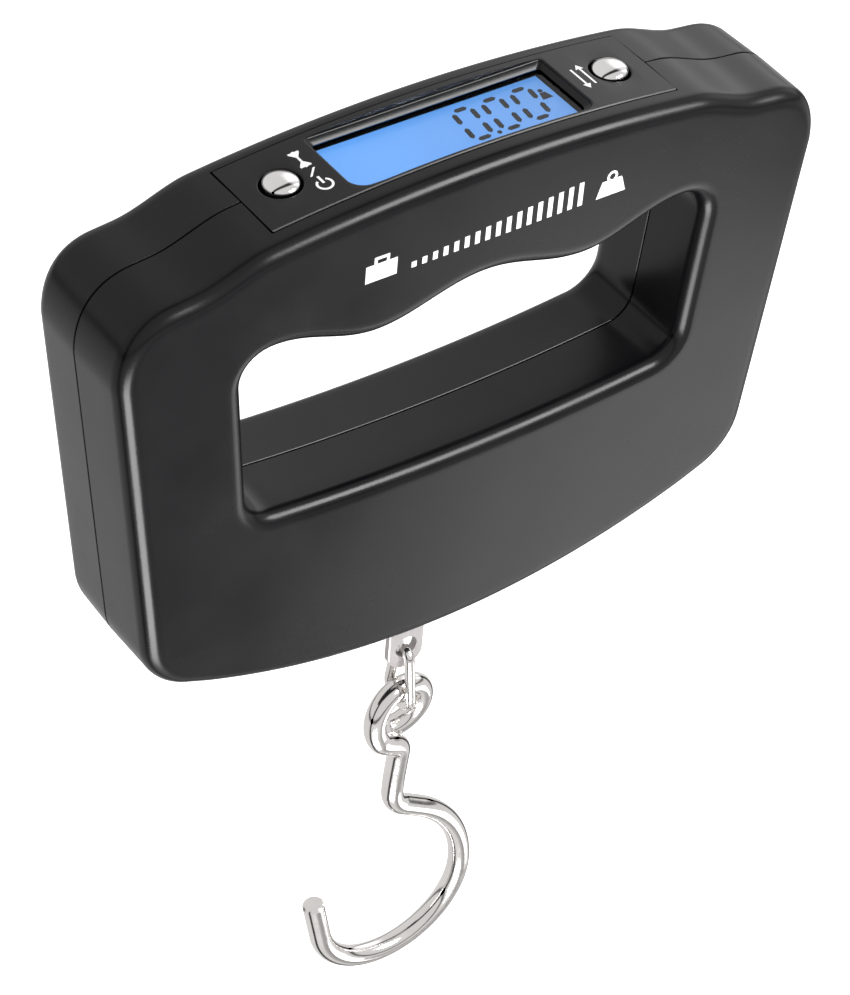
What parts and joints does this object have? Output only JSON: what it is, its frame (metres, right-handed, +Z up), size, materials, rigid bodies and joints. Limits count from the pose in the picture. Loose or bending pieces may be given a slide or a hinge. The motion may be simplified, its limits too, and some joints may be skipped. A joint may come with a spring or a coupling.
{
  "type": "digital luggage scale",
  "caption": "Hand-held luggage scale: black split housing with a hand hole, display and domed buttons in its top bar, and a bent-wire hook hung from a steel strap and link.",
  "frame": {"origin": "underside of the grip bar at the middle of the hand hole's top, on the housing's parting plane", "axes": "+X to the user's right, +Y away from the user through the housing, +Z up"},
  "size_m": [0.125, 0.024, 0.1852],
  "materials": {
    "housing_plastic": "satin moulded",
    "panel_plastic": "fine satin",
    "clear_lens": "clear",
    "lit_display": "back-lit blue",
    "light_guide": "milky",
    "contact_rubber": "matte",
    "circuit_board": "solder mask",
    "chip_resin": "cast resin",
    "steel": "zinc plated",
    "chrome_cap": "mirror plated",
    "beam_aluminium": "milled",
    "gauge_foil": "film",
    "strap_steel": "brushed",
    "nickel_wire": "nickel plated",
    "battery_wrap": "printed sleeve, no marks",
    "contact_metal": "nickel plated",
    "lead_red": "insulation",
    "lead_black": "insulation",
    "cable_grey": "insulation"
  },
  "bodies": {
    "housing": {"front_shell": "housing_plastic", "rear_shell": "housing_plastic", "case_screw_upper_left": "steel", "case_screw_upper_right": "steel", "case_screw_lower_left": "steel", "case_screw_lower_right": "steel", "display_panel": "panel_plastic", "lcd_lens": "clear_lens", "lcd_glass": "lit_display", "lcd_frame": "panel_plastic", "backlight_plate": "light_guide", "zebra_strip": "contact_rubber", "main_board": "circuit_board", "controller_chip": "chip_resin", "tact_switch_tare": "steel", "tact_switch_unit": "steel", "load_cell": "beam_aluminium", "strain_gauge_top": "gauge_foil", "strain_gauge_bottom": "gauge_foil", "load_cell_screw_left": "steel", "load_cell_screw_right": "steel", "strap_screw_upper": "steel", "strap_screw_lower": "steel", "hanger_strap": "strap_steel", "battery_upper": "battery_wrap", "battery_lower": "battery_wrap", "contact_spring_upper": "contact_metal", "contact_spring_lower": "contact_metal", "contact_plate_upper": "contact_metal", "contact_bridge": "contact_metal", "battery_lead_positive": "lead_red", "battery_lead_negative": "lead_black", "cell_cable": "cable_grey"},
    "button_tare": {"button_tare_cap": "chrome_cap"},
    "button_unit": {"button_unit_cap": "chrome_cap"},
    "plunger_tare": {"switch_plunger_tare": "chip_resin"},
    "plunger_unit": {"switch_plunger_unit": "chip_resin"},
    "chain_link": {"chain_link": "nickel_wire"},
    "hook": {"hook": "nickel_wire"},
    "battery_door": {"battery_door": "housing_plastic"}
  },
  "joints": [
    {"name": "tare_press", "type": "slide", "parent": "housing", "child": "button_tare", "axis": [0, 0, -1], "range_m": [0, 0.0005], "stiffness_N_per_m": 400},
    {"name": "unit_press", "type": "slide", "parent": "housing", "child": "button_unit", "axis": [0, 0, -1], "range_m": [0, 0.0005], "stiffness_N_per_m": 400},
    {"name": "tare_switch", "type": "slide", "parent": "housing", "child": "plunger_tare", "axis": [0, 0, -1], "range_m": [0, 0.0003]},
    {"name": "unit_switch", "type": "slide", "parent": "housing", "child": "plunger_unit", "axis": [0, 0, -1], "range_m": [0, 0.0003]},
    {"name": "link_swing", "type": "hinge", "parent": "housing", "child": "chain_link", "pos_m": [0, 0, -0.0856], "axis": [0, 1, 0], "range_deg": [-60, 60]},
    {"name": "hook_swing", "type": "hinge", "parent": "chain_link", "child": "hook", "pos_m": [0, 0, -0.095], "axis": [1, 0, 0], "range_deg": [-60, 60]},
    {"name": "door_hinge", "type": "hinge", "parent": "housing", "child": "battery_door", "pos_m": [0, 0.012, -0.05985], "axis": [-1, 0, 0], "range_deg": [0, 45]}
  ],
  "couplings": [
    {"joint": "tare_switch", "follows": "tare_press", "ratio": 0.6},
    {"joint": "unit_switch", "follows": "unit_press", "ratio": 0.6}
  ]
}
